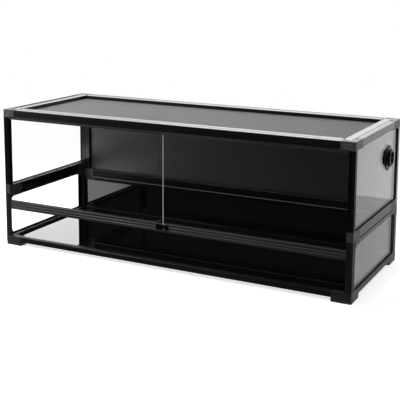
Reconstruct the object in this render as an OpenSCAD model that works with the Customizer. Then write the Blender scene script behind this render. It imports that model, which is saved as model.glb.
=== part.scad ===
// Reptile terrarium: a long glass tank in a frame of black profiles and moulded corner
// blocks, with two sliding front doors, a lift-out screen top and a cable port at the right.
// X runs left to right, Y front to back, Z up. The origin lies on the table, under the
// middle of the whole box, the port included.

/* [Tank] */
// Width over the corner blocks
tank_w = 1220; // [1000:10:1500]
// Depth over the corner blocks
tank_d = 460; // [400:10:600]
// Height from the table to the top of the frame
tank_h = 465; // [420:5:600]

/* [Frame profiles] */
// Width of the face of every post and rail
profile_w = 20; // [19:0.5:24]
// Height of the bottom rails
bottom_rail_h = 18; // [17:1:24]
// Height of the top rails
top_rail_h = 24; // [22:1:30]
// Top of the middle rails above the table
mid_rail_top = 206; // [195:1:240]
// Height of the middle rails, with the lip that hangs from them
mid_rail_h = 43; // [40:1:50]
// How far the back middle rail lies below the side ones
back_rail_drop = 27; // [24:1:32]
// Width of the upper back posts, which also frame the back panel
back_post_w = 42; // [36:1:50]
// Depth of the upper posts
post_d = 18; // [17:0.5:22]
// Chamfer along the edges of the profiles
edge_chamfer = 0.8; // [0.4:0.1:1.5]
// How far the profiles lie behind the faces of the corner blocks
set_back = 0.5; // [0.2:0.1:1]

/* [Corner blocks] */
// Height of the feet under the bottom rails
foot_h = 12; // [8:1:20]
// Length of a foot along the front
foot_x = 62; // [50:1:80]
// Length of a foot along the side
foot_y = 70; // [55:1:90]
// Length of a top block along the front
top_block_x = 45; // [35:1:60]
// Length of a top block along the side
top_block_y = 64; // [50:1:80]
// Height of a middle block's column
mid_block_h = 29; // [26:1:36]
// Length of a middle block along the side
mid_block_y = 65; // [50:1:80]
// Length of a middle block along the back
mid_block_x = 60; // [52:1:80]
// Radius of the fillets in the lower side openings
fillet_r = 20; // [8:1:26]

/* [Glazing] */
// Thickness of the glass sheets and of the back panels
glass_t = 4; // [3:0.5:5]
// Distance from the frame's outer face to the glass
glass_inset = 5; // [4.5:0.5:6]
// Thickness of the floor panel
floor_t = 5; // [4:0.5:5]
// Depth of the grooves that hold the sheets
groove_depth = 8; // [6:0.5:8]

/* [Doors] */
// Underside of the lower door track
track_z = 125; // [110:1:130]
// Height of the lower door track
track_h = 27; // [24:1:27]
// Overlap of the two doors in the middle
door_overlap = 20; // [10:1:40]

/* [Screen] */
// Width of the screen's frame bars
screen_bar_w = 25; // [20:1:30]
// Depth of the screen's frame bars
screen_bar_h = 14.2; // [12:0.2:16]
// Gaps of the net along the tank
net_gaps_x = 25; // [10:1:25]
// Gaps of the net across the tank
net_gaps_y = 12; // [5:1:12]

/* [Cable port] */
// Distance of the port behind the middle of the side
port_y = 120; // [60:1:130]
// Height of the port's centre
port_z = 358; // [300:1:370]
// Diameter of the port's flange
flange_d = 80; // [74:1:90]
// Diameter of the port's boss
boss_d = 52; // [50:1:56]
// Diameter of the bore through the port
port_bore_d = 40; // [36:1:42]
// How far the boss stands out from the glass
boss_stand = 12; // [10:0.5:16]

/* [Hidden] */
$fn = 64;
tiny = 0.01;
play = 0.2;
body_gap = 0.3;
left = -1;
right = 1;
front = -1;
back = 1;

// Heights
bottom_rail_top = foot_h + bottom_rail_h;
floor_z = bottom_rail_top - 8 - floor_t;
track_top = track_z + track_h;
mid_block_top = mid_rail_top + 2;
mid_block_z = mid_block_top - mid_block_h;
mid_rail_z = mid_rail_top - mid_rail_h;
back_rail_z = mid_rail_z - back_rail_drop;
top_rail_z = tank_h - top_rail_h;

// Planes behind the outer face: the glass, the two door channels and the chambers
glass_back = glass_inset + glass_t;
outer_door_v = glass_inset;
inner_door_v = glass_back + 2.8;
track_front = glass_inset - 2.5;
track_back = inner_door_v + glass_t + 2.5;
post_core = glass_back + 4;
side_leg = 25;
chamber_v = glass_back + 1.8;
chamber_w = 6.2;

// Screen and its ledge
screen_v = profile_w + 1;
screen_z = tank_h - body_gap - screen_bar_h;
ledge_top = screen_z - body_gap;
net_z = screen_z + 1;
net_t = 1;
net_wire = 1.2;
net_edge_v = screen_v + screen_bar_w - 3;

// Doors
door_side = profile_w + 0.7;
door_z = track_top - 11;
door_top = top_rail_z - 2.5;
channel_z = door_z - body_gap;
upper_track_z = top_rail_z - 9;

// Rubber strips and screws
seal_t = 2;
seal_w = 5;
back_seal_w = 15;
screw_head_d = 5.8;
screw_head_h = 1.2;

// Lock
lock_w = 44;
lock_z = track_z + 8;
lock_h = track_top - lock_z;
bolt_w = 9;
bolt_x = 5.5;
bolt_travel = 7;
pull_w = 20;

// The port stands out on the right, so the tank moves left by half of that
port_out = boss_stand - glass_inset;
tank_x = -port_out / 2;

frame_colour = [0.07, 0.07, 0.075];
block_colour = [0.17, 0.17, 0.175];
track_colour = [0.13, 0.13, 0.14];
glass_colour = [0.8, 0.88, 0.88, 0.3];
panel_colour = [0.03, 0.03, 0.035];
rubber_colour = [0.02, 0.02, 0.02];
net_colour = [0.3, 0.3, 0.3];

// ---- placing ----

// Moves the tank so that the origin is under the middle of its box
module placed() translate([tank_x, 0, 0]) children();

// Turns a corner drawn at the front left into any of the four corners
module corner(side, end)
    mirror([side == right ? 1 : 0, 0, 0])
        mirror([0, end == back ? 1 : 0, 0])
            translate([-tank_w / 2, -tank_d / 2, 0]) children();

// How far the middle blocks and the posts' ends at that end lie below the front ones
function drop(end) = end == back ? back_rail_drop : 0;

// Runs a section of (distance behind the face, height) along the front or the back
module along_x(end, margin)
    mirror([0, end == back ? 1 : 0, 0])
        translate([-tank_w / 2 + margin, -tank_d / 2, 0])
            rotate([90, 0, 90]) linear_extrude(tank_w - 2 * margin) children();

// Runs the same kind of section along a side
module along_y(side, margin)
    mirror([side == right ? 1 : 0, 0, 0])
        translate([-tank_w / 2, tank_d / 2 - margin, 0])
            rotate([90, 0, 0]) linear_extrude(tank_d - 2 * margin) children();

// A rectangle from (a, b) with its four corners chamfered
module bar_section(a, b, w, h, c = edge_chamfer)
    polygon([
        [a + c, b], [a + w - c, b], [a + w, b + c], [a + w, b + h - c],
        [a + w - c, b + h], [a + c, b + h], [a, b + h - c], [a, b + c]
    ]);

// A small V cut into a face, pointing along +x from (a, b)
module v_cut(a, b, size = 1.2)
    polygon([[a - tiny, b - size], [a + size, b], [a - tiny, b + size]]);

// ---- profiles: sections in (distance behind the outer face, height) ----

module glass_groove(z, up)
    translate([glass_inset - play, up ? z - groove_depth : z - tiny])
        square([glass_t + 2 * play, groove_depth + tiny]);

module bottom_rail_section() difference() {
    union() {
        bar_section(set_back, foot_h + set_back, profile_w - set_back, bottom_rail_h - 2 * set_back);
        translate([profile_w - 2, floor_z - 4]) square([12, 4]);
    }
    glass_groove(bottom_rail_top - set_back, true);
    translate([chamber_v, foot_h + 3]) square([chamber_w, bottom_rail_h - 6]);
}

// Body with the upper sheet in its top, and two lips that hang down over the lower sheet
module mid_rail_section() difference() {
    union() {
        bar_section(set_back, mid_rail_z + 16, profile_w - set_back, mid_rail_h - 16 - set_back);
        bar_section(set_back, mid_rail_z, post_core - set_back, 17, edge_chamfer);
    }
    glass_groove(mid_rail_top - set_back, true);
    translate([glass_inset - play, mid_rail_z - tiny]) square([glass_t + 2 * play, groove_depth + 2]);
    translate([set_back, 0]) v_cut(0, mid_rail_z + 16);
    translate([chamber_v, mid_rail_z + 19]) square([chamber_w, mid_rail_h - 22 - set_back]);
}

// The back rail is the same profile hung lower, with a nose under its body that points
// into the tank
module back_rail_section() {
    translate([0, -back_rail_drop]) mid_rail_section();
    translate([0, back_rail_z]) polygon([
        [post_core - 1, 10], [profile_w + 1, 12.5], [profile_w + 1.8, 13.5], [profile_w + 1.8, 14.5],
        [profile_w - set_back, 17], [post_core - 1, 17]
    ]);
}

module top_rail_section() difference() {
    union() {
        bar_section(set_back, top_rail_z, profile_w - set_back, top_rail_h - set_back);
        translate([profile_w - 2, ledge_top - 4]) square([14, 4]);
    }
    translate([glass_inset - play, top_rail_z - tiny]) square([glass_t + 2 * play, groove_depth]);
    translate([chamber_v, top_rail_z + 3]) square([chamber_w, top_rail_h - 6]);
    translate([7.5, tank_h - set_back]) rotate(-90) v_cut(0, 0, 0.8);
}

// Lower posts: an angle whose core fills the corner between the sheets
module lower_post_section() polygon([
    [set_back + edge_chamfer, set_back], [profile_w, set_back], [profile_w, glass_inset - play],
    [post_core, glass_inset - play], [post_core, post_core], [glass_inset - play, post_core],
    [glass_inset - play, side_leg], [set_back, side_leg], [set_back, set_back + edge_chamfer]
]);

module post_chamber_section(w) translate([chamber_v, 4]) square([w, post_d - 8]);

module upper_post_section(w, end) difference() {
    bar_section(set_back, set_back, w - set_back, post_d - set_back);
    translate([glass_inset - play, post_d - groove_depth])
        square([glass_t + 2 * play, groove_depth + 1]);
    post_chamber_section(end == back ? w - 20 : chamber_w);
    if (end == back) {
        translate([w - groove_depth, glass_inset - play]) square([groove_depth + 1, glass_t + 2 * play]);
        translate([profile_w + 2, post_d]) rotate(-90) v_cut(0, 0);
    }
}

// ---- sheets ----

// A sheet on the front or back, from side margin to side margin and between two heights
module sheet_x(end, margin, z0, z1, grow = 0)
    mirror([0, end == back ? 1 : 0, 0])
        translate([-tank_w / 2 + margin - grow, -tank_d / 2 + glass_inset - grow, z0 - grow])
            cube([tank_w - 2 * (margin - grow), glass_t + 2 * grow, z1 - z0 + 2 * grow]);

module sheet_y(side, margin, z0, z1, grow = 0)
    mirror([side == right ? 1 : 0, 0, 0])
        translate([-tank_w / 2 + glass_inset - grow, -tank_d / 2 + margin - grow, z0 - grow])
            cube([glass_t + 2 * grow, tank_d - 2 * (margin - grow), z1 - z0 + 2 * grow]);

sheet_z = bottom_rail_top - set_back - groove_depth + 1;
core_margin = post_core + play;
post_margin = post_d - groove_depth + 1;
upper_sheet_z = mid_rail_top - set_back - groove_depth + 1;
upper_sheet_top = top_rail_z + groove_depth - 1;

module front_sheet(grow = 0) sheet_x(front, core_margin, sheet_z, track_z + groove_depth - 1, grow);
module lower_back_sheet(grow = 0) sheet_x(back, core_margin, sheet_z, back_rail_z + groove_depth, grow);
module upper_back_sheet(grow = 0)
    sheet_x(back, back_post_w - groove_depth + 1, upper_sheet_z - back_rail_drop, upper_sheet_top, grow);
module lower_side_sheet(side, grow = 0)
    sheet_y(side, core_margin, sheet_z, mid_rail_z + groove_depth, grow);
module upper_side_sheet(side, grow = 0)
    sheet_y(side, post_margin, upper_sheet_z, upper_sheet_top, grow);

// The slots that the sheets need in the corner blocks
module sheet_slots() {
    front_sheet(play);
    lower_back_sheet(play);
    upper_back_sheet(play);
    for (side = [left, right]) {
        lower_side_sheet(side, play);
        upper_side_sheet(side, play);
    }
}

// ---- corner blocks ----

// An L in plan with arms of width w, chamfered at the outer corner and at the arm ends
module l_outline(x, y, w, c = 1.5) polygon([
    [c, 0], [x - c, 0], [x, c], [x, w], [w, w], [w, y], [c, y], [0, y - c], [0, c]
]);

// Plugs that fill the hollow rails beside a block, one along each arm
module rail_plugs(x, y, z, h, plug = 18) {
    translate([x - tiny, chamber_v + play, z]) cube([plug, chamber_w - 2 * play, h]);
    translate([chamber_v + play, y - tiny, z]) cube([chamber_w - 2 * play, plug, h]);
}

module post_plug(w, z, h)
    translate([chamber_v + play, 4 + play, z]) cube([w - 2 * play, post_d - 8 - 2 * play, h]);

// The rounded corner between the post's leg and the rail; drawn in (y, z), up is 1 or -1
module fillet_outline(up) difference() {
    translate([0, up > 0 ? -1 : -fillet_r]) square([fillet_r, fillet_r + 1]);
    translate([fillet_r, up * fillet_r]) circle(fillet_r);
}

// A web with that corner, which covers the corner of the lower side sheet
module side_fillet(z, up)
    translate([set_back, side_leg, z]) rotate([90, 0, 90])
        linear_extrude(glass_inset - play - set_back) fillet_outline(up);

module bottom_corner(side, end) color(block_colour) placed() difference() {
    corner(side, end) {
        linear_extrude(foot_h + tiny) l_outline(foot_x, foot_y, 30, 2.5);
        translate([0, 0, foot_h]) linear_extrude(bottom_rail_h) l_outline(foot_x, foot_y, profile_w);
        rail_plugs(foot_x, foot_y, foot_h + 3 + play, bottom_rail_h - 6 - 2 * play);
        side_fillet(bottom_rail_top, 1);
    }
    sheet_slots();
}

module mid_corner(side, end) color(block_colour) placed() difference() {
    corner(side, end) {
        column_w = end == back ? mid_block_x : profile_w + set_back;
        column_z = mid_block_z - drop(end);
        plug_w = end == back ? back_post_w - 20 : chamber_w;
        arm_y = end == back ? post_d + play : post_d - 2;
        translate([0, 0, column_z]) linear_extrude(mid_block_h)
            difference() {
                bar_section(0, 0, column_w, post_d, 1.5);
                if (end == back)
                    translate([profile_w + 2, post_d]) rotate(-90) v_cut(0, 0);
            }
        translate([0, arm_y, mid_rail_z + 16])
            cube([profile_w, mid_block_y - arm_y, mid_rail_h - 16 + 0.5]);
        translate([0, side_leg, mid_rail_z])
            cube([post_core, mid_block_y - side_leg, 17]);
        translate([chamber_v + play, mid_block_y - tiny, mid_rail_z + 19 + play])
            cube([chamber_w - 2 * play, 18, mid_rail_h - 22 - set_back - 2 * play]);
        side_fillet(mid_rail_z, -1);
        post_plug(plug_w, column_z + mid_block_h - tiny, 20);
        if (end == back) {
            // the step between the column and the side arm above it
            translate([0, post_d - 2, column_z])
                cube([post_core, side_leg - post_d + 2 + tiny, mid_rail_z + 17 - column_z]);
            // the arm along the back
            translate([profile_w, set_back, back_rail_z])
                cube([mid_block_x - profile_w, post_core, column_z - back_rail_z + 1]);
            translate([mid_block_x - tiny, chamber_v + play, back_rail_z + 19 + play])
                cube([18, chamber_w - 2 * play, mid_rail_h - 22 - set_back - 2 * play]);
        }
    }
    sheet_slots();
}

module top_corner(side, end) color(block_colour) placed() difference() {
    corner(side, end) {
        translate([0, 0, top_rail_z]) linear_extrude(top_rail_h)
            l_outline(top_block_x, top_block_y, profile_w);
        translate([0, 0, top_rail_z - 2]) cube([profile_w, top_block_y, 2 + tiny]);
        translate([profile_w - 2, profile_w - 2, ledge_top - 4])
            cube([top_block_x - profile_w + 2, top_block_y - profile_w + 2, 4]);
        rail_plugs(top_block_x, top_block_y, top_rail_z + 3 + play, top_rail_h - 6 - 2 * play);
        post_plug(end == back ? back_post_w - 20 : chamber_w, top_rail_z - 22, 20 + tiny);
    }
    sheet_slots();
    corner(side, end) {
        // the block's ledge is an L like the rails' ledges
        translate([profile_w + 12, profile_w + 12, ledge_top - 5]) cube([top_block_x, top_block_y, 6]);
        at_frame_screws() screw_hole();
    }
}

module bottom_corner_front_left() bottom_corner(left, front);
module bottom_corner_front_right() bottom_corner(right, front);
module bottom_corner_back_left() bottom_corner(left, back);
module bottom_corner_back_right() bottom_corner(right, back);
module mid_corner_front_left() mid_corner(left, front);
module mid_corner_front_right() mid_corner(right, front);
module mid_corner_back_left() mid_corner(left, back);
module mid_corner_back_right() mid_corner(right, back);
module top_corner_front_left() top_corner(left, front);
module top_corner_front_right() top_corner(right, front);
module top_corner_back_left() top_corner(left, back);
module top_corner_back_right() top_corner(right, back);

// ---- rails and posts ----

module bottom_rail_front() color(frame_colour) placed() along_x(front, foot_x) bottom_rail_section();
module bottom_rail_back() color(frame_colour) placed() along_x(back, foot_x) bottom_rail_section();
module bottom_rail_left() color(frame_colour) placed() along_y(left, foot_y) bottom_rail_section();
module bottom_rail_right() color(frame_colour) placed() along_y(right, foot_y) bottom_rail_section();
module mid_rail_back() color(frame_colour) placed() along_x(back, mid_block_x) back_rail_section();
module mid_rail_left() color(frame_colour) placed() along_y(left, mid_block_y) mid_rail_section();
module mid_rail_right() color(frame_colour) placed() along_y(right, mid_block_y) mid_rail_section();
module top_rail_front() color(frame_colour) placed() along_x(front, top_block_x) top_rail_section();
module top_rail_back() color(frame_colour) placed() along_x(back, top_block_x) top_rail_section();
module top_rail_left() color(frame_colour) placed() along_y(left, top_block_y) top_rail_section();
module top_rail_right() color(frame_colour) placed() along_y(right, top_block_y) top_rail_section();

module lower_post(side, end) color(frame_colour) placed() corner(side, end)
    translate([0, 0, bottom_rail_top])
        linear_extrude(mid_block_z - drop(end) - bottom_rail_top) lower_post_section();

module upper_post(side, end) color(frame_colour) placed() corner(side, end)
    translate([0, 0, mid_block_top - drop(end)])
        linear_extrude(top_rail_z - 2 - mid_block_top + drop(end))
            upper_post_section(end == back ? back_post_w : profile_w, end);

module lower_post_front_left() lower_post(left, front);
module lower_post_front_right() lower_post(right, front);
module lower_post_back_left() lower_post(left, back);
module lower_post_back_right() lower_post(right, back);
module upper_post_front_left() upper_post(left, front);
module upper_post_front_right() upper_post(right, front);
module upper_post_back_left() upper_post(left, back);
module upper_post_back_right() upper_post(right, back);

// ---- door tracks ----

module door_channels(z, h)
    for (v = [outer_door_v, inner_door_v])
        translate([v - play, z]) square([glass_t + 2 * play, h]);

// Two open channels on top, a groove for the fixed glass below
module lower_track_section() difference() {
    bar_section(track_front, track_z, track_back - track_front, track_h, 0.6);
    door_channels(channel_z, track_h);
    translate([glass_inset - play, track_z - tiny]) square([glass_t + 2 * play, groove_depth]);
    for (step = [1, 2])
        translate([track_front, 0]) v_cut(0, track_z + step * track_h / 3, 0.7);
}

module upper_track_section() difference() {
    translate([track_front, upper_track_z]) square([track_back - track_front, 9 - tiny]);
    door_channels(upper_track_z - 1, 9);
}

module lower_track() color(track_colour) placed() difference() {
    along_x(front, core_margin) lower_track_section();
    // the ends are notched round the posts
    for (side = [left, right])
        corner(side, front) translate([0, 0, track_z - 1])
            cube([profile_w + 0.1, glass_inset, track_h + 2]);
    // the lock takes the place of the front lip in the middle
    translate([-lock_w / 2 - play, -tank_d / 2, lock_z - play])
        cube([lock_w + 2 * play, glass_inset - play + tiny, lock_h + 1]);
}

module upper_track() color(track_colour) placed()
    along_x(front, profile_w + 0.1) upper_track_section();

// ---- sheets as parts ----

module floor_panel() color(panel_colour) placed()
    translate([-tank_w / 2 + profile_w + 1, -tank_d / 2 + profile_w + 1, floor_z])
        cube([tank_w - 2 * profile_w - 2, tank_d - 2 * profile_w - 2, floor_t]);

module lower_glass_front() color(glass_colour) placed() front_sheet();
module lower_glass_left() color(glass_colour) placed() lower_side_sheet(left);
module lower_glass_right() color(glass_colour) placed() lower_side_sheet(right);
module lower_back_panel() color(panel_colour) placed() lower_back_sheet();
module upper_glass_left() color(glass_colour) placed() upper_side_sheet(left);
module upper_back_panel() color(panel_colour) placed() upper_back_sheet();

module upper_glass_right() color(glass_colour) placed() difference() {
    upper_side_sheet(right);
    at_port() translate([0, 0, -glass_t - 1]) cylinder(d = port_bore_d + 14, h = glass_t + 2);
}

// The lower side opening with its rounded corners, in (y from the front, height)
module side_opening() difference() {
    translate([side_leg, bottom_rail_top]) square([tank_d - 2 * side_leg, mid_rail_z - bottom_rail_top]);
    for (flip = [0, 1]) translate([flip * tank_d, 0]) mirror([flip, 0]) translate([side_leg, 0]) {
        translate([0, bottom_rail_top]) fillet_outline(1);
        translate([0, mid_rail_z]) fillet_outline(-1);
    }
}

// Rubber strips on the side sheets: along the bottom and the back of the lower ones,
// and along the bottom of the upper ones
module panel_seals() color(rubber_colour) placed()
    for (side = [left, right]) corner(side, front) {
        translate([glass_inset - seal_t, 0, 0]) rotate([90, 0, 90]) linear_extrude(seal_t)
            intersection() {
                side_opening();
                union() {
                    translate([0, bottom_rail_top]) square([tank_d, seal_w]);
                    translate([tank_d - side_leg - back_seal_w, 0]) square([back_seal_w, tank_h]);
                }
            }
        translate([glass_inset - seal_t, post_d, mid_rail_top + set_back])
            cube([seal_t, tank_d - 2 * post_d, 3]);
    }

// Countersunk cross-head screw, its head's top at z = 0
module screw() difference() {
    union() {
        translate([0, 0, -screw_head_h]) cylinder(d = screw_head_d, h = screw_head_h);
        translate([0, 0, -10]) cylinder(d = 3, h = 10 - screw_head_h + tiny);
    }
    for (turn = [0, 90]) rotate(turn) translate([-1.8, -0.4, -0.6]) cube([3.6, 0.8, 1]);
}

// The sunk seat of such a screw
module screw_hole() {
    translate([0, 0, -screw_head_h]) cylinder(d = screw_head_d + 0.6, h = 5);
    translate([0, 0, -10.5]) cylinder(d = 3.2, h = 10);
}

// Two screws in each top block, seen from the block's own corner
module at_frame_screws() {
    translate([top_block_x - 9, profile_w / 2 + 4, tank_h - 0.3]) children();
    translate([profile_w / 2 + 4, top_block_y - 12, tank_h - 0.3]) children();
}

module frame_screws() color(rubber_colour) placed()
    for (side = [left, right], end = [front, back]) corner(side, end) at_frame_screws() screw();

// ---- doors ----

module door(x0, x1, v) translate([x0, -tank_d / 2 + v, door_z])
    cube([x1 - x0, glass_t, door_top - door_z]);

module door_left() color(glass_colour) placed() door(-tank_w / 2 + door_side, 0, outer_door_v);
module door_right() color(glass_colour) placed()
    door(-door_overlap, tank_w / 2 - door_side, inner_door_v);

// Moulded finger pull clipped to the inner edge of the outer door, just above the track
module door_pull() color(block_colour) placed()
    translate([-pull_w - 0.5, -tank_d / 2, track_top + 1]) difference() {
        translate([0, outer_door_v, 0]) rotate([90, 0, 0]) linear_extrude(outer_door_v - 0.6)
            polygon([[0, 0], [pull_w, 0], [pull_w, 9], [pull_w - 6, 9], [0, 3]]);
        translate([4, 0, 1.2]) cube([pull_w - 8, 1.8, 1.2]);
    }

// The lock: a housing in the track's front lip with a bolt that slides up beside the pull
module lock_housing() color(block_colour) placed() difference() {
    translate([-lock_w / 2, -tank_d / 2 + set_back, lock_z]) rotate([90, 0, 90])
        linear_extrude(lock_w)
            bar_section(0, 0, glass_inset - play - set_back, lock_h, 0.6);
    // window for the bolt, open at the top
    translate([bolt_x - bolt_w / 2 - body_gap, -tank_d / 2, lock_z + 3])
        cube([bolt_w + 2 * body_gap, glass_inset + 1, lock_h]);
    // the bolt's two side guides, closed at the top where the bolt stops
    translate([bolt_x - bolt_w / 2 - 2 - body_gap, -tank_d / 2 + 2.4, lock_z + 3])
        cube([bolt_w + 4 + 2 * body_gap, 1.6, 2 * body_gap + bolt_travel + 6]);
}

module lock_bolt() color(frame_colour) placed() {
    bolt_z = lock_z + 3 + body_gap;
    translate([bolt_x - bolt_w / 2, -tank_d / 2 + 1.4, bolt_z]) cube([bolt_w, 3, 14]);
    translate([bolt_x - bolt_w / 2 - 2, -tank_d / 2 + 2.7, bolt_z]) cube([bolt_w + 4, 1, 6]);
    for (rib = [2, 5, 8])
        translate([bolt_x - bolt_w / 2 + 1, -tank_d / 2 + 0.6, bolt_z + rib]) cube([bolt_w - 2, 1, 1.4]);
}

// ---- screen ----

module screen_bar_section() difference() {
    bar_section(screen_v, screen_z, screen_bar_w, screen_bar_h);
    translate([net_edge_v - 1, net_z - 0.3]) square([6, net_t + 0.6]);
    translate([screen_v + 9, screen_z - tiny]) square([5, 4]);
}

// Cuts a straight bar to a mitre at both ends, with a hairline joint
module mitred(half, w) intersection() {
    children();
    linear_extrude(tank_h + 1) polygon([
        [-half + 0.05, -w], [half - 0.05, -w],
        [half - 0.05 - screen_bar_w * 2, -w + screen_bar_w * 2],
        [-half + 0.05 + screen_bar_w * 2, -w + screen_bar_w * 2]
    ]);
}

module screen_bars() {
    half_x = tank_w / 2 - screen_v;
    half_y = tank_d / 2 - screen_v;
    for (end = [front, back]) mirror([0, end == back ? 1 : 0, 0])
        mitred(half_x, half_y) along_x(front, screen_v) screen_bar_section();
    for (side = [left, right]) mirror([side == right ? 1 : 0, 0, 0])
        rotate(-90) mitred(half_y, half_x) rotate(90) along_y(left, screen_v) screen_bar_section();
}

module screen_frame() color(frame_colour) placed() difference() {
    screen_bars();
    at_screen_screws() screw_hole();
}

// Flat net, its edges held in the bars
module screen_net() color(net_colour) placed() {
    w = tank_w - 2 * net_edge_v;
    d = tank_d - 2 * net_edge_v;
    for (i = [0:net_gaps_x])
        translate([-w / 2 + i * (w - net_wire) / net_gaps_x, -d / 2, net_z]) cube([net_wire, d, net_t]);
    for (j = [0:net_gaps_y])
        translate([-w / 2, -d / 2 + j * (d - net_wire) / net_gaps_y, net_z]) cube([w, net_wire, net_t]);
}

module screen_spline() color(rubber_colour) placed() {
    v = screen_v + 9.2;
    for (end = [front, back])
        along_x(end, v + 6) translate([v, screen_z + 0.2]) square([4.6, 3.2]);
    for (side = [left, right])
        along_y(side, v + 6) translate([v, screen_z + 0.2]) square([4.6, 3.2]);
}

module at_screen_screws() for (side = [left, right], end = [front, back])
    corner(side, end) translate([screen_v + 26, screen_v + 17, tank_h - body_gap - 0.3]) children();

module screen_screws() color(rubber_colour) placed() at_screen_screws() screw();

// ---- cable port ----

// Turns +Z into +X at the port's centre on the glass's outer face
module at_port()
    translate([tank_w / 2 - glass_inset, port_y, port_z]) rotate([0, 90, 0]) children();

// Flange, boss and threaded neck in one turned shape, with a web that closes half its bore
module port_body() color(rubber_colour) placed() at_port() {
    rotate_extrude() polygon([
        [port_bore_d / 2, -16], [port_bore_d / 2 + 6, -16], [port_bore_d / 2 + 6, 0],
        [flange_d / 2 - 1, 0], [flange_d / 2, 1], [flange_d / 2 - 3, 3],
        [boss_d / 2 + 3, 3.5], [boss_d / 2 + 1, 5], [boss_d / 2, boss_stand - 1.5],
        [boss_d / 2 - 1.5, boss_stand], [port_bore_d / 2, boss_stand]
    ]);
    translate([0, 0, -6]) linear_extrude(3) difference() {
        circle(d = port_bore_d + 2);
        translate([-2 * port_bore_d, -port_bore_d]) square(2 * port_bore_d);
    }
}

module port_nut() color(rubber_colour) placed() at_port() difference() {
    translate([0, 0, -glass_t - 6]) cylinder(d = port_bore_d + 26, h = 6);
    translate([0, 0, -glass_t - 7]) cylinder(d = port_bore_d + 12.4, h = 8);
    for (turn = [0:30:330])
        rotate(turn) translate([port_bore_d / 2 + 14, 0, -glass_t - 7]) cylinder(d = 5, h = 8);
}

// Half-round shutter that turns in the bore, with a grip bar across its face
module port_cap() color(frame_colour) placed() at_port() {
    difference() {
        translate([0, 0, boss_stand - 9]) cylinder(r = port_bore_d / 2 - 0.05, h = 6);
        translate([-3 - port_bore_d, -port_bore_d, boss_stand - 10])
            cube([port_bore_d, 2 * port_bore_d, 12]);
    }
    translate([-1, -2, boss_stand - 3 - tiny]) cube([14, 4, 2.5]);
}

bottom_corner_front_left();
bottom_corner_front_right();
bottom_corner_back_left();
bottom_corner_back_right();
bottom_rail_front();
bottom_rail_back();
bottom_rail_left();
bottom_rail_right();
lower_post_front_left();
lower_post_front_right();
lower_post_back_left();
lower_post_back_right();
mid_corner_front_left();
mid_corner_front_right();
mid_corner_back_left();
mid_corner_back_right();
mid_rail_back();
mid_rail_left();
mid_rail_right();
upper_post_front_left();
upper_post_front_right();
upper_post_back_left();
upper_post_back_right();
top_corner_front_left();
top_corner_front_right();
top_corner_back_left();
top_corner_back_right();
top_rail_front();
top_rail_back();
top_rail_left();
top_rail_right();
lower_track();
upper_track();
floor_panel();
lower_glass_front();
lower_glass_left();
lower_glass_right();
lower_back_panel();
upper_glass_left();
upper_glass_right();
upper_back_panel();
panel_seals();
frame_screws();
door_left();
door_right();
door_pull();
lock_housing();
lock_bolt();
screen_frame();
screen_net();
screen_spline();
screen_screws();
port_body();
port_nut();
port_cap();
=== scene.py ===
# Reptile terrarium: a long glass tank in a frame of black profiles and moulded corner
# blocks, with two sliding front doors, a lift-out screen top and a cable port at the right.
# Metres, Z up, the front at -Y. Every piece stands where the CAD model has it.
import math

import bmesh
import bpy
from mathutils import Matrix, Vector


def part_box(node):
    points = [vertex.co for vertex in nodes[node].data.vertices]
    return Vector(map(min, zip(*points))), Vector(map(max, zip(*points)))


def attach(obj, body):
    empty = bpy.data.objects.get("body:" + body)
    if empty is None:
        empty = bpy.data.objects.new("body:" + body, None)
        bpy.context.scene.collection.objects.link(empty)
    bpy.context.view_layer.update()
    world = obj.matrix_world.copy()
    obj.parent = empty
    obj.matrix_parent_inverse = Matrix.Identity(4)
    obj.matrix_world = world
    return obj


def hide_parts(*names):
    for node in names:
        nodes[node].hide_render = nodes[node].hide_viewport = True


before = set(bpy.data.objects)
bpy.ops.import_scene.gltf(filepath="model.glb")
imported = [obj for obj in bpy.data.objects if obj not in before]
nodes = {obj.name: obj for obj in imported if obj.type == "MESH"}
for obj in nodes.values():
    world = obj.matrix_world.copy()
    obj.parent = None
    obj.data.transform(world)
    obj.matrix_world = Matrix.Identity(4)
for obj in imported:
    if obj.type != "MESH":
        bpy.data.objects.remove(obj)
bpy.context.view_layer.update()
scene = bpy.context.scene
scene.view_settings.view_transform = "Standard"

# ---- Camera ----
# A long lens from the front right, just above the top, with its frame shifted down so
# that the upright edges stay nearly parallel.
camera_at = Vector((1.3291, -2.5646, 0.9226))
camera_turn, camera_height, camera_roll = (math.radians(a) for a in (27.253, 8.887, 0.310))
back = Vector((math.sin(camera_turn) * math.cos(camera_height),
               -math.cos(camera_turn) * math.cos(camera_height), math.sin(camera_height)))
flat_right = Vector((0, 0, 1)).cross(back).normalized()
flat_up = back.cross(flat_right)
right = flat_right * math.cos(camera_roll) + flat_up * math.sin(camera_roll)
up = back.cross(right)
camera_data = bpy.data.cameras.new("camera")
camera_data.lens = 80.85
camera_data.sensor_width = 36
camera_data.shift_y = -0.22
camera = bpy.data.objects.new("camera", camera_data)
camera_axes = Matrix((right, up, back)).transposed().to_4x4()
camera.matrix_world = Matrix.Translation(camera_at) @ camera_axes
scene.collection.objects.link(camera)
scene.camera = camera

# ---- Studio ----
# A white sheet under and behind the tank, bright walls at its sides and back, and an unlit
# room in front of it, which the black panels, the glass and the frame mirror.


def new_material(name):
    """An empty node material; returns the material and its node tree."""
    made = bpy.data.materials.new(name)
    made.use_nodes = True
    made.node_tree.nodes.clear()
    made.node_tree.nodes.new("ShaderNodeOutputMaterial")
    return made, made.node_tree


def show(tree, shader):
    """Links a shader node to the material's output."""
    tree.links.new(shader.outputs[0], tree.nodes["Material Output"].inputs[0])


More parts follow.
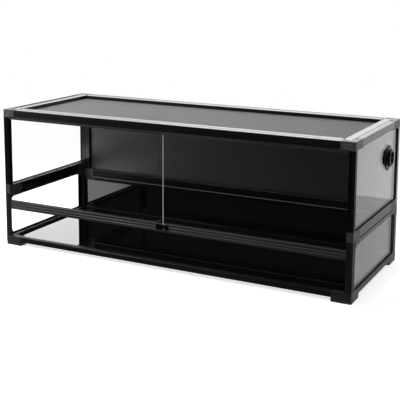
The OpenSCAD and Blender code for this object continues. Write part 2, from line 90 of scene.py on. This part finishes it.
def add(tree, kind, settings=None, **inputs):
    """Adds a node and returns it. settings are its properties; inputs are values or sockets,
    each under the input's name with _ for a space, or under i and the input's number."""
    made = tree.nodes.new(kind)
    for key, value in (settings or {}).items():
        setattr(made, key, value)
    for key, value in inputs.items():
        numbered = key[0] == "i" and key[1:].isdigit()
        socket = made.inputs[int(key[1:]) if numbered else key.replace("_", " ")]
        if isinstance(value, bpy.types.NodeSocket):
            tree.links.new(value, socket)
        else:
            socket.default_value = value
    return made


def maths(tree, operation, *terms):
    """A Math node on one to three terms; returns its socket."""
    numbered = {"i%d" % number: term for number, term in enumerate(terms)}
    return add(tree, "ShaderNodeMath", {"operation": operation}, **numbered).outputs[0]


def vector_maths(tree, operation, vector, **second):
    """A Vector Math node; returns its vector socket."""
    return add(tree, "ShaderNodeVectorMath", {"operation": operation}, i0=vector, **second).outputs[0]


def parts_of(tree, vector):
    """The X, Y and Z sockets of a vector."""
    return tuple(add(tree, "ShaderNodeSeparateXYZ", i0=vector).outputs)


def ranged(tree, value, low, high, to_low=0.0, to_high=1.0, curve="LINEAR"):
    """Maps a value from low..high to to_low..to_high, held at both ends; returns its socket."""
    return add(tree, "ShaderNodeMapRange", {"interpolation_type": curve}, Value=value, From_Min=low,
               From_Max=high, To_Min=to_low, To_Max=to_high).outputs[0]


def eased(tree, value, low, high, to_low=0.0, to_high=1.0):
    """The same with a soft start and end."""
    return ranged(tree, value, low, high, to_low, to_high, "SMOOTHSTEP")


def mixed(tree, share, first, second, kind="RGBA"):
    """first at a share of 0 and second at 1: colours, or numbers with kind FLOAT."""
    return add(tree, "ShaderNodeMix", {"data_type": kind}, Factor=share, A=first,
               B=second).outputs["Result"]


# The world is plain white where it is seen. As a reflection it is bright at the sides and the
# back, a little darker to the right, brighter high up, and unlit towards the front.
wall_glow, room_glow = 1.5, 0.03
right_share, high_share = 0.71, 1.35
fill_level = 0.3
unlit_lean = math.radians(15)
world = bpy.data.worlds.new("studio")
scene.world = world
world.use_nodes = True
sky = world.node_tree
sky.nodes.clear()
way = add(sky, "ShaderNodeTexCoord").outputs["Generated"]
flat_way = vector_maths(sky, "MULTIPLY", way, i1=(1, 1, 0))
east, north = parts_of(sky, vector_maths(sky, "NORMALIZE", flat_way))[:2]
front = maths(sky, "MULTIPLY_ADD", north, -math.cos(unlit_lean),
              maths(sky, "MULTIPLY", east, math.sin(unlit_lean)))
walls = eased(sky, front, -0.1, 0.45, wall_glow, room_glow)
walls = maths(sky, "MULTIPLY", walls, eased(sky, east, -0.2, 0.2, 1.0, right_share))
walls = maths(sky, "MULTIPLY", walls, eased(sky, parts_of(sky, way)[2], 0.06, 0.22, 1.0, high_share))
path = add(sky, "ShaderNodeLightPath").outputs
seen = maths(sky, "MAXIMUM", path["Is Camera Ray"], path["Is Transmission Ray"])
unseen = mixed(sky, path["Is Glossy Ray"], fill_level, walls, "FLOAT")
backdrop = add(sky, "ShaderNodeBackground", Strength=mixed(sky, seen, unseen, 1.0, "FLOAT"),
               Color=mixed(sky, seen, (1.0, 0.986, 1.01, 1), (1, 1, 1, 1)))
add(sky, "ShaderNodeOutputWorld", i0=backdrop.outputs[0])

# The sheet is white where it is seen and keeps a soft shadow. As a reflection it is bright
# to the left of the tank and behind it, and dark in front of the tank's right part.
sheet_side, sheet_near, sheet_far = 5, -7, 1.0
to_the_left = (-0.866, 0.5, 0)
fore_dark, fore_bright = 0.08, 1.12
near_share, behind_glow = 0.12, 0.66
seen_glow, seen_tone, lit_tone = 0.72, 0.9, 0.5
floor_mesh = bpy.data.meshes.new("studio_floor")
floor_mesh.from_pydata([(-sheet_side, sheet_near, 0), (sheet_side, sheet_near, 0),
                        (sheet_side, sheet_far, 0), (-sheet_side, sheet_far, 0)], [], [(0, 1, 2, 3)])
floor = bpy.data.objects.new("studio_floor", floor_mesh)
scene.collection.objects.link(floor)
paper, tree = new_material("white_paper")
place = add(tree, "ShaderNodeTexCoord").outputs["Object"]
leftward = add(tree, "ShaderNodeVectorMath", {"operation": "DOT_PRODUCT"}, i0=place,
               i1=to_the_left).outputs["Value"]
depth = parts_of(tree, place)[1]
fore = maths(tree, "MULTIPLY", eased(tree, leftward, 0.27, 0.60, fore_dark, fore_bright),
             eased(tree, depth, -1.04, -0.80, near_share, 1.0))
mirrored = maths(tree, "MAXIMUM", fore, eased(tree, depth, -0.35, -0.1, 0.0, behind_glow))
path = add(tree, "ShaderNodeLightPath").outputs
tone = mixed(tree, path["Is Camera Ray"], lit_tone, seen_tone, "FLOAT")
tone = mixed(tree, path["Is Glossy Ray"], tone, 0.0, "FLOAT")
matt = add(tree, "ShaderNodeBsdfDiffuse", Color=tone)
glow = maths(tree, "MULTIPLY_ADD", path["Is Camera Ray"], seen_glow,
             maths(tree, "MULTIPLY", path["Is Glossy Ray"], mirrored))
light = add(tree, "ShaderNodeEmission", Color=(1, 1, 1, 1), Strength=glow)
show(tree, add(tree, "ShaderNodeAddShader", i0=matt.outputs[0], i1=light.outputs[0]))
floor_mesh.materials.append(paper)


def softbox(name, at, aim, wide, high, power):
    """A rectangular studio lamp."""
    data = bpy.data.lights.new(name, "AREA")
    data.shape = "RECTANGLE"
    data.size, data.size_y, data.energy = wide, high, power
    lamp = bpy.data.objects.new(name, data)
    toward = (Vector(aim) - Vector(at)).normalized()
    lamp.matrix_world = Matrix.Translation(at) @ toward.to_track_quat("-Z", "Y").to_matrix().to_4x4()
    scene.collection.objects.link(lamp)


softbox("key_light", (-1.05, -1.0, 1.25), (-0.5, -0.1, 0.35), 0.5, 0.5, 14)
softbox("edge_light", (1.9, -1.5, 0.95), (0.0, -0.22, 0.29), 0.25, 0.25, 0.8)
softbox("rear_light", (-0.4, 2.6, 1.8), (0.2, 0, 0.4), 2.4, 1.0, 22)

# ---- Bottom frame ----
# Feet and bottom rails: extruded satin black profiles pushed on to the plugs of moulded
# corner blocks, which are black too, with a fine spark grain. Their grey tones are painted,
# darker low down and paler high up, as light and shade.


def drawn_noise(tree, place, along, across_scale, along_scale, detail):
    """Noise drawn out along an axis, with its own scales across and along it."""
    scales = [across_scale] * 3
    scales[along] = along_scale
    stretched = add(tree, "ShaderNodeMapping", Vector=place, Scale=scales)
    return add(tree, "ShaderNodeTexNoise", Vector=stretched.outputs[0], Scale=1.0,
               Detail=detail).outputs[0]


def profile_black(name, along, base, rough, bend=1.5, edge=0.0, shade_line=None):
    """Satin black profile with faint draw lines along its length (0, 1 or 2 for X, Y, Z).
    base is its tone, bend its refractive index, edge a paler tone painted on its rounded upper
    edges as a highlight, if over 0, and seam the height of a dark line painted along it for the
    shade in its groove, if there is one."""
    flat_face, rising, half_shade_line = 0.95, 0.2, 0.0012
    made, tree = new_material(name)
    place = add(tree, "ShaderNodeTexCoord").outputs["Object"]
    lines = drawn_noise(tree, place, along, 900, 4, 3.0)
    bands = drawn_noise(tree, place, along, 260, 2, 2.0)
    tone = mixed(tree, ranged(tree, bands, 0.35, 0.65), (base * 0.55, base * 0.55, base * 0.6, 1),
                 (base * 1.5, base * 1.5, base * 1.6, 1))
    if edge:
        # A paler tone painted on the upward-facing rounded edges: a painted highlight.
        normal = add(tree, "ShaderNodeNewGeometry").outputs["True Normal"]
        wide, deep, high = parts_of(tree, vector_maths(tree, "ABSOLUTE", normal))
        most = maths(tree, "MAXIMUM", maths(tree, "MAXIMUM", wide, deep), high)
        upward = maths(tree, "GREATER_THAN", parts_of(tree, normal)[2], rising)
        painted_highlight_mask = maths(tree, "MULTIPLY", maths(tree, "LESS_THAN", most, flat_face), upward)
        tone = mixed(tree, painted_highlight_mask, tone, (edge, edge, edge * 1.03, 1))
    dull = ranged(tree, lines, 0.3, 0.7, rough - 0.05, rough + 0.07)
    bump = add(tree, "ShaderNodeBump", Strength=0.10, Distance=0.0003, Height=lines)
    skin = add(tree, "ShaderNodeBsdfPrincipled", IOR=bend, Roughness=dull, Base_Color=tone,
               Normal=bump.outputs[0])
    if shade_line:
        # A dark, unglossy line painted at that height: painted shade in the profile's groove.
        near = maths(tree, "COMPARE", parts_of(tree, place)[2], shade_line, half_shade_line)
        painted_groove_shade = add(tree, "ShaderNodeBsdfDiffuse", Color=(0.004, 0.004, 0.004, 1))
        skin = add(tree, "ShaderNodeMixShader", i0=near, i1=skin.outputs[0], i2=painted_groove_shade.outputs[0])
    show(tree, skin)
    return made


def moulded(name, base, bend=1.5, speckle=0.55):
    """Moulded plastic of a base tone with a fine spark grain; speckle is its mottle's share."""
    made, tree = new_material(name)
    place = add(tree, "ShaderNodeTexCoord").outputs["Object"]
    grain = add(tree, "ShaderNodeTexNoise", Vector=place, Scale=700.0, Detail=4.0,
                Roughness=0.7).outputs[0]
    mottle = add(tree, "ShaderNodeTexNoise", Vector=place, Scale=170.0, Detail=3.0,
                 Roughness=0.6).outputs[0]
    dark, pale = ((level, level, level * 1.02, 1)
                  for level in (base * (1 - speckle), base * (1 + speckle)))
    bump = add(tree, "ShaderNodeBump", Strength=0.35, Distance=0.0005, Height=grain)
    show(tree, add(tree, "ShaderNodeBsdfPrincipled", IOR=bend, Normal=bump.outputs[0],
                   Roughness=ranged(tree, grain, 0.3, 0.7, 0.42, 0.58),
                   Base_Color=mixed(tree, ranged(tree, mottle, 0.35, 0.65), dark, pale)))
    return made


def put_in_place(name, mesh, body, node):
    """Makes an object of a mesh that rides a body and stands for a CAD node."""
    piece = bpy.data.objects.new(name, mesh)
    scene.collection.objects.link(piece)
    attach(piece, body)
    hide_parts(node)


def soft_edged(name, finish, reach=0.0008, shortest=0.003, body="tank", turned=False):
    """Puts a merged copy of a CAD node with rounded edges in the node's place; reach is how
    far the rounding goes in, and edges under shortest stay sharp. A turned piece has all its
    sharp edges rounded and its facets smoothed, any other only the edges of its outside."""
    lo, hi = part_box(name)
    flat, smooth, sharp = (math.radians(angle) for angle in (1, 20, 30))
    weld, on_box = 1e-6, 2e-5
    shape = bmesh.new()
    shape.from_mesh(nodes[name].data)
    bmesh.ops.remove_doubles(shape, verts=shape.verts, dist=weld)
    bmesh.ops.dissolve_limit(shape, angle_limit=flat, verts=shape.verts, edges=shape.edges)

    def outer(face):
        spot = face.verts[0].co
        return any(abs(face.normal[axis]) > 0.999 and
                   min(abs(spot[axis] - lo[axis]), abs(spot[axis] - hi[axis])) < on_box
                   for axis in range(3))

    chosen = [edge for edge in shape.edges
              if len(edge.link_faces) == 2 and edge.calc_length() > shortest
              and edge.calc_face_angle_signed() > sharp
              and (turned or any(outer(face) for face in edge.link_faces))]
    bmesh.ops.bevel(shape, geom=chosen, offset=reach, offset_type="OFFSET", segments=2,
                    profile=0.6, affect="EDGES", clamp_overlap=turned)
    for face in shape.faces:
        face.smooth = turned
    for edge in shape.edges:
        edge.smooth = len(edge.link_faces) == 2 and edge.calc_face_angle() < smooth
    mesh = bpy.data.meshes.new(name + "_soft")
    shape.to_mesh(mesh)
    shape.free()
    mesh.materials.append(finish)
    put_in_place(name + "_soft", mesh, body, name)


# Only the long edges of a profile are rounded, so that its cut ends stay crisp.
profile_edge, long_edge = 0.0007, 0.05
low_rail_x = profile_black("low_profile_black_x", 0, 0.007, 0.3, 1.35)
low_rail_y = profile_black("low_profile_black_y", 1, 0.018, 0.6, 1.3)
low_side = profile_black("low_side_black", 1, 0.008, 0.4, 1.37)
for side, finish in (("front", low_rail_x), ("back", low_rail_x), ("left", low_rail_y),
                     ("right", low_side)):
    soft_edged("bottom_rail_" + side, finish, profile_edge, long_edge)
shaded_foot_block = moulded("moulded_foot", 0.004, 1.68)
corners = [end + "_" + side for end in ("front", "back") for side in ("left", "right")]
for corner in corners:
    soft_edged("bottom_corner_" + corner, shaded_foot_block)

# ---- Posts, middle and top frame ----
# The same profiles go up and round at two more levels: angle posts below, closed posts
# above, and rails at the sides and the back, with the front open for the doors. All are
# pushed on to the plugs of the middle and top corner blocks.
post_z = profile_black("profile_black_z", 2, 0.006, 0.28, 1.12)
back_post = profile_black("back_post_black", 2, 0.012, 0.13, 1.7)
low_post = profile_black("low_post_black", 2, 0.018, 0.28, 1.12)
# The lower back posts are given a paler tone than the other posts: painted light on posts that stand
# in shade.
lit_low_back_post = profile_black("low_back_post_black", 2, 0.032, 0.3, 1.4)
# The middle blocks are painted paler than the feet, and the top blocks paler still: painted light and
# shade on copies of the one block plastic.
mid_block = moulded("moulded_mid_block", 0.05)
lit_top_block = moulded("moulded_top_block", 0.08)
for corner in corners:
    lower, upper = (lit_low_back_post, back_post) if corner.startswith("back") else (low_post, post_z)
    soft_edged("lower_post_" + corner, lower, profile_edge, long_edge)
    soft_edged("upper_post_" + corner, upper, profile_edge, long_edge)
    soft_edged("mid_corner_" + corner, mid_block)
    soft_edged("top_corner_" + corner, lit_top_block)
# The middle rails carry a paler tone painted on their upper rounded edges as a highlight; the side
# ones also have a dark line painted along them for the shade in their groove.
back_x = profile_black("back_profile_black", 0, 0.012, 0.2, 1.2, edge=0.24)
seam_y = profile_black("middle_profile_black", 1, 0.006, 0.22, 1.42, edge=0.03, shade_line=0.178)
front_x = profile_black("front_profile_black", 0, 0.008, 0.17, 1.75)
rail_y = profile_black("profile_black_y", 1, 0.006, 0.22, 1.42)
dull_x = profile_black("dull_profile_x", 0, 0.02, 0.42)
dull_y = profile_black("dull_profile_y", 1, 0.02, 0.7, 1.3)
for name, finish in (("mid_rail_back", back_x), ("mid_rail_left", seam_y), ("mid_rail_right", seam_y),
                     ("top_rail_front", front_x), ("top_rail_right", rail_y),
                     ("top_rail_back", dull_x), ("top_rail_left", dull_y)):
    soft_edged(name, finish, profile_edge, long_edge)

# ---- Door tracks ----
# Extruded two-channel tracks across the front, of a slightly greyer plastic than the frame,
# pushed in between the posts. The lower one's lips have a paler tone painted on their upper
# edges as a highlight, and the upper one is painted paler all over for the light it catches.
highlighted_lower_grey = profile_black("track_grey", 0, 0.026, 0.3, 1.45, edge=0.2)
lit_upper_grey = profile_black("upper_track_grey", 0, 0.042, 0.2, 1.6)
soft_edged("lower_track", highlighted_lower_grey, reach=0.0006, shortest=long_edge)
soft_edged("upper_track", lit_upper_grey, reach=0.0005, shortest=long_edge)

# ---- Floor and back panels ----
# Black sheets held in the profiles' grooves: the floor and the lower back are mirror gloss,
# and the upper back is satin, so that it shows the bright left side only as a soft glow.


def dress(name, finish):
    """Gives a CAD node its finish."""
    mesh = nodes[name].data
    mesh.materials.clear()
    mesh.materials.append(finish)


def black_sheet(name, rough, haze, bend, coat, tint):
    """Black sheet whose gloss is broken by faint waves, haze rougher at most, and a little
    dust; bend is its refractive index, coat the weight of its lacquer, tint its gloss's."""
    made, tree = new_material(name)
    place = add(tree, "ShaderNodeTexCoord").outputs["Object"]
    wave = add(tree, "ShaderNodeTexNoise", Vector=place, Scale=3.0, Detail=2.0).outputs[0]
    dust = add(tree, "ShaderNodeTexNoise", Vector=place, Scale=420.0, Detail=2.0).outputs[0]
    tone = mixed(tree, ranged(tree, dust, 0.62, 0.8), (0.004, 0.004, 0.0043, 1),
                 (0.006, 0.006, 0.0062, 1))
    show(tree, add(tree, "ShaderNodeBsdfPrincipled", IOR=bend, Base_Color=tone, Specular_Tint=tint,
                   Roughness=ranged(tree, wave, 0.3, 0.7, rough, rough + haze), Coat_Weight=coat,
                   Coat_Roughness=rough))
    return made


dress("floor_panel", black_sheet("gloss_black_floor", 0.01, 0.01, 2.0, 0.4, (0.94, 0.98, 1, 1)))
dress("lower_back_panel", black_sheet("gloss_black_sheet", 0.03, 0.03, 1.9, 0.6, (1, 1, 1, 1)))
dress("upper_back_panel", black_sheet("satin_black_sheet", 0.42, 0.04, 2.35, 0.0, (0.97, 0.963, 1, 1)))

# ---- Glass ----
# Clear float glass of 4 mm, fixed in the frame's grooves or, as the doors, loose in the
# tracks. Its edges are ground, and they show as pale lines through a painted glow, an emission
# that stands for the light running inside the pane.


def clear_glass(name, thin):
    """Glass that lets lamps through and mirrors more the flatter it is seen; thin is the
    sheet's thickness axis, 0 or 1, and tells its edges from its faces."""
    least_mirror, more_mirror, mirror_from, mirror_bend = 0.003, 0.97, 0.36, 2.6
    made, tree = new_material(name)
    shape = add(tree, "ShaderNodeNewGeometry").outputs
    across = maths(tree, "ABSOLUTE", parts_of(tree, shape["Normal"])[thin])
    slant = add(tree, "ShaderNodeLayerWeight", Blend=0.5).outputs["Facing"]
    steep = maths(tree, "POWER", ranged(tree, slant, mirror_from, 1.0), mirror_bend)
    share = maths(tree, "MULTIPLY_ADD", steep, more_mirror, least_mirror)
    clear = add(tree, "ShaderNodeBsdfTransparent", Color=(0.998, 1.0, 0.9995, 1))
    mirror = add(tree, "ShaderNodeBsdfAnisotropic", Color=(1, 1, 1, 1), Roughness=0.0)
    face = add(tree, "ShaderNodeMixShader", i0=share, i1=clear.outputs[0], i2=mirror.outputs[0])
    place = add(tree, "ShaderNodeTexCoord").outputs["Object"]
    grind = add(tree, "ShaderNodeTexNoise", Vector=place, Scale=500.0, Detail=3.0).outputs[0]
    tone = mixed(tree, grind, (0.66, 0.70, 0.69, 1), (0.90, 0.95, 0.93, 1))
    # The ground edge glows by emission: painted light for the light that runs inside the pane.
    glowing_ground_edge = add(tree, "ShaderNodeBsdfPrincipled", Roughness=0.35, Base_Color=tone,
                 Emission_Color=tone, Emission_Strength=0.24)
    through = add(tree, "ShaderNodeBsdfTransparent", Color=(0.55, 0.62, 0.60, 1))
    rim = add(tree, "ShaderNodeMixShader", i0=shape["Backfacing"], i1=glowing_ground_edge.outputs[0],
              i2=through.outputs[0])
    show(tree, add(tree, "ShaderNodeMixShader", i0=maths(tree, "LESS_THAN", across, 0.7),
                   i1=face.outputs[0], i2=rim.outputs[0]))
    return made


side_glass = clear_glass("clear_glass_side", 0)
front_glass = clear_glass("clear_glass_front", 1)
for side in ("left", "right"):
    dress("lower_glass_" + side, side_glass)
    dress("upper_glass_" + side, side_glass)
    dress("door_" + side, front_glass)
dress("lower_glass_front", front_glass)

# ---- Rubber ----
# Black extruded strips that bed the side sheets in their grooves, and the round spline that
# is rolled into the screen's bars to hold the net.
rubber = profile_black("seal_rubber", 1, 0.004, 0.6, 1.2)
dress("panel_seals", rubber)
dress("screen_spline", rubber)

# ---- Screws ----
# Cross-head screws of blackened steel with raised heads: two in each top block, which hold
# the frame together, and one at each corner of the screen.


def node_group(name, **kinds):
    """A Geometry Nodes tree with an input of each kind. Returns the tree, its inputs'
    identifiers by name, and the inputs' sockets inside it."""
    tree = bpy.data.node_groups.new(name, "GeometryNodeTree")
    keys = {}
    for label, kind in kinds.items():
        made = tree.interface.new_socket(label, in_out="INPUT", socket_type="NodeSocket" + kind)
        keys[label] = made.identifier
    tree.interface.new_socket("Geometry", in_out="OUTPUT", socket_type="NodeSocketGeometry")
    return tree, keys, tree.nodes.new("NodeGroupInput").outputs


def real_pieces(tree, points, piece, finish):
    """Ends a node tree: the piece on each of the points, as one mesh in its finish."""
    put = add(tree, "GeometryNodeInstanceOnPoints", Points=points, Instance=piece)
    real = add(tree, "GeometryNodeRealizeInstances", Geometry=put.outputs[0])
    paint = add(tree, "GeometryNodeSetMaterial", Geometry=real.outputs[0], Material=finish)
    tree.links.new(paint.outputs[0], tree.nodes.new("NodeGroupOutput").inputs[0])


def grown(name, tree, keys, values, spots=((0, 0, 0),)):
    """Runs a node tree on an object whose vertices are the spots; returns the plain mesh."""
    seeds = bpy.data.meshes.new(name)
    seeds.from_pydata(list(spots), [], [])
    host = bpy.data.objects.new(name, seeds)
    scene.collection.objects.link(host)
    modifier = host.modifiers.new("nodes", "NODES")
    modifier.node_group = tree
    for label, value in values.items():
        modifier[keys[label]] = value
    host.update_tag()
    bpy.context.view_layer.update()
    made = bpy.data.meshes.new_from_object(host.evaluated_get(bpy.context.evaluated_depsgraph_get()))
    bpy.data.objects.remove(host)
    return made


tree, keys, given = node_group("cross_head_screws", Spots="Geometry", Radius="Float", Top="Float",
                               Height="Float", Recess="Vector", Recess_Place="Vector",
                               Finish="Material")
head = add(tree, "GeometryNodeMeshCone", Vertices=24, Radius_Top=given["Top"],
           Radius_Bottom=given["Radius"], Depth=given["Height"])
bar = add(tree, "GeometryNodeMeshCube", Size=given["Recess"]).outputs["Mesh"]
cut = add(tree, "GeometryNodeMeshBoolean", {"operation": "DIFFERENCE"})
tree.links.new(head.outputs["Mesh"], cut.inputs["Mesh 1"])
for quarter in (0, math.pi / 2):
    slit = add(tree, "GeometryNodeTransform", Geometry=bar, Translation=given["Recess_Place"],
               Rotation=(0, 0, quarter))
    tree.links.new(slit.outputs[0], cut.inputs["Mesh 2"])
real_pieces(tree, given["Spots"], cut.outputs[0], given["Finish"])

# Each head is a low cone; the two bars of its recess are cut into its top.
steel = profile_black("black_steel", 2, 0.002, 0.8, 1.05)
screw_head = {"Radius": 0.003, "Top": 0.0018, "Height": 0.0016, "Finish": steel,
              "Recess": (0.0032, 0.0007, 0.0014), "Recess_Place": (0, 0, 0.0016)}
sunk, screw_to_edge = 0.0002, 0.0029
lo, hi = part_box("frame_screws")
middle, frame_top = (lo.x + hi.x) / 2, hi.z
lo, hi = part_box("screen_screws")
screen_corner = ((hi.x - lo.x) / 2 - screw_to_edge, hi.y - screw_to_edge)
for node, body, places, top in (
        ("frame_screws", "tank", ((0.574, 0.216), (0.596, 0.178)), frame_top),
        ("screen_screws", "screen", (screen_corner,), hi.z)):
    spots = [(middle + east * x, north * y, top - sunk) for x, y in places
             for east in (-1, 1) for north in (-1, 1)]
    heads = grown(node + "_heads", tree, keys, screw_head, spots)
    put_in_place(node + "_heads", heads, body, node)

# ---- Door pull and lock ----
# A moulded finger pull clipped to the outer door's edge, and the lock in the track's front
# lip: a black housing with a ribbed bolt. Their upper edges are glossy and have a pale tone
# painted on them as glints.
painted_glint_black = profile_black("lock_black_bright", 0, 0.004, 0.12, 1.4, edge=0.9)
lock_black_painted_edges = profile_black("lock_black_painted_edges", 0, 0.003, 0.2, 1.2, edge=0.4)
short_edge = 0.002
soft_edged("door_pull", painted_glint_black, 0.0007, short_edge, "left_door")
soft_edged("lock_housing", lock_black_painted_edges, 0.0006, short_edge)
soft_edged("lock_bolt", painted_glint_black, 0.0004, short_edge, "bolt")

# ---- Screen ----
# A frame of four mitred black bars that lies in the top of the tank, with a net of coated
# wire laid in two layers, one along the tank and one across it.
screen_bar = profile_black("screen_bar_black", 0, 0.006, 0.22)
soft_edged("screen_frame", screen_bar, profile_edge, long_edge, "screen")

tree, keys, given = node_group("net_wires", Count="Int", Start="Vector", Pitch="Vector",
                               Wire="Vector", Finish="Material")
line = add(tree, "GeometryNodeMeshLine", Count=given["Count"], Start_Location=given["Start"],
           Offset=given["Pitch"])
bar = add(tree, "GeometryNodeMeshCube", Size=given["Wire"])
real_pieces(tree, line.outputs[0], bar.outputs["Mesh"], given["Finish"])

coated_wire = moulded("coated_wire", 0.285, speckle=0.12)
pitch, wire = 0.0024, 0.0006
lo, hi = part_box("screen_net")
joined = bmesh.new()
for axis in (0, 1):
    span = hi[axis] - lo[axis]
    count = int(span / pitch)
    start = Vector(((lo.x + hi.x) / 2, (lo.y + hi.y) / 2, lo.z + wire * (0.5 + axis)))
    start[axis] = lo[axis] + (span - (count - 1) * pitch) / 2
    step = Vector((0, 0, 0))
    step[axis] = pitch
    size = Vector((wire, wire, wire))
    size[1 - axis] = hi[1 - axis] - lo[1 - axis]
    joined.from_mesh(grown("net_wires_%d" % axis, tree, keys, {
        "Count": count, "Start": start, "Pitch": step, "Wire": size, "Finish": coated_wire}))
net_mesh = bpy.data.meshes.new("wire_net")
joined.to_mesh(net_mesh)
joined.free()
net_mesh.materials.append(coated_wire)
put_in_place("wire_net", net_mesh, "screen", "screen_net")

# ---- Cable port ----
# A moulded flange and boss through a hole in the right glass, held by a nut inside, with a
# round shutter that turns in its bore.
port_black = profile_black("port_plastic", 2, 0.003, 0.2, 1.2)
shutter_black = profile_black("shutter_black", 1, 0.002, 0.5, 1.15)
facet_edge = 0.0005
soft_edged("port_body", port_black, 0.0006, facet_edge, turned=True)
soft_edged("port_nut", port_black, 0.0005, facet_edge, turned=True)
soft_edged("port_cap", shutter_black, 0.0004, facet_edge, "shutter", turned=True)
